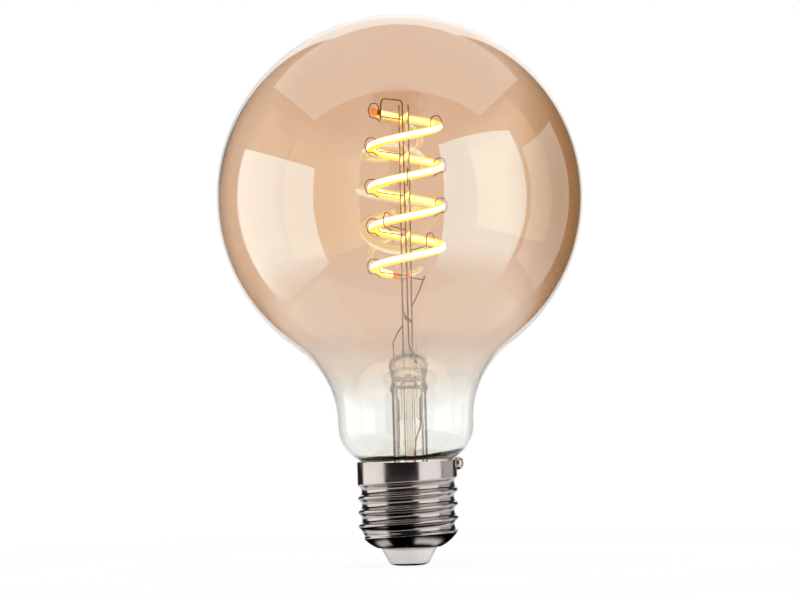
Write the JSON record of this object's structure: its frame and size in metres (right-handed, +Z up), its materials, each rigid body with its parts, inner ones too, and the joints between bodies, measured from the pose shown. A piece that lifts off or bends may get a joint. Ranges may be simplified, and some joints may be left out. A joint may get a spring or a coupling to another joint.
{
  "type": "globe led filament bulb",
  "caption": "Globe lamp bulb of amber-tinted glass with a lit spiral filament on a glass rod and a screw cap.",
  "frame": {"origin": "middle of the flat lowest face of the centre contact, on the lamp's axis", "axes": "+Z up along the lamp's axis from the cap to the globe, +X to the right as pictured"},
  "size_m": [0.095, 0.095, 0.143],
  "materials": {
    "amber_glass": "thin blown glass with an amber gold lustre, fading to clear at the neck",
    "clear_glass": "clear drawn glass, fire polished",
    "lit_filament": "yellow phosphor silicone over a flexible strip, lit",
    "nickel_wire": "drawn nickel-plated wire, darkened",
    "copper_wire": "copper-clad wire",
    "nickel_plate": "bright nickel plate over rolled brass sheet",
    "white_insulator": "white, smooth, slightly glossy",
    "tinned_contact": "tinned sheet metal",
    "solder": "bright set solder",
    "cement": "matt basing cement",
    "board": "glass-fibre board with solder mask",
    "can_aluminium": "drawn can",
    "black_moulding": "moulded epoxy",
    "fuse_coating": "flameproof coating"
  },
  "bodies": {
    "root": {"globe_envelope": "amber_glass", "stem_glass": "clear_glass", "exhaust_tube": "clear_glass", "support_rod": "clear_glass", "led_filament": "lit_filament", "filament_tab_lower": "nickel_wire", "filament_pad_upper": "nickel_wire", "lead_wire_left": "nickel_wire", "lead_wire_right": "nickel_wire", "seal_wire_left": "copper_wire", "seal_wire_right": "copper_wire", "screw_shell": "nickel_plate", "insulator": "white_insulator", "centre_contact": "tinned_contact", "contact_solder": "solder", "basing_cement": "cement", "rim_solder_bead": "solder", "rim_wire": "copper_wire", "driver_board": "board", "smoothing_capacitor": "can_aluminium", "bridge_rectifier": "black_moulding", "driver_chip": "black_moulding", "sense_resistor": "black_moulding", "fuse_resistor": "fuse_coating", "live_wire": "copper_wire", "support_wire_1": "nickel_wire", "support_wire_2": "nickel_wire", "support_wire_3": "nickel_wire", "support_wire_4": "nickel_wire", "support_wire_5": "nickel_wire", "support_wire_6": "nickel_wire", "support_wire_7": "nickel_wire", "support_wire_8": "nickel_wire", "support_wire_9": "nickel_wire", "support_wire_10": "nickel_wire", "support_wire_11": "nickel_wire"}
  },
  "joints": []
}
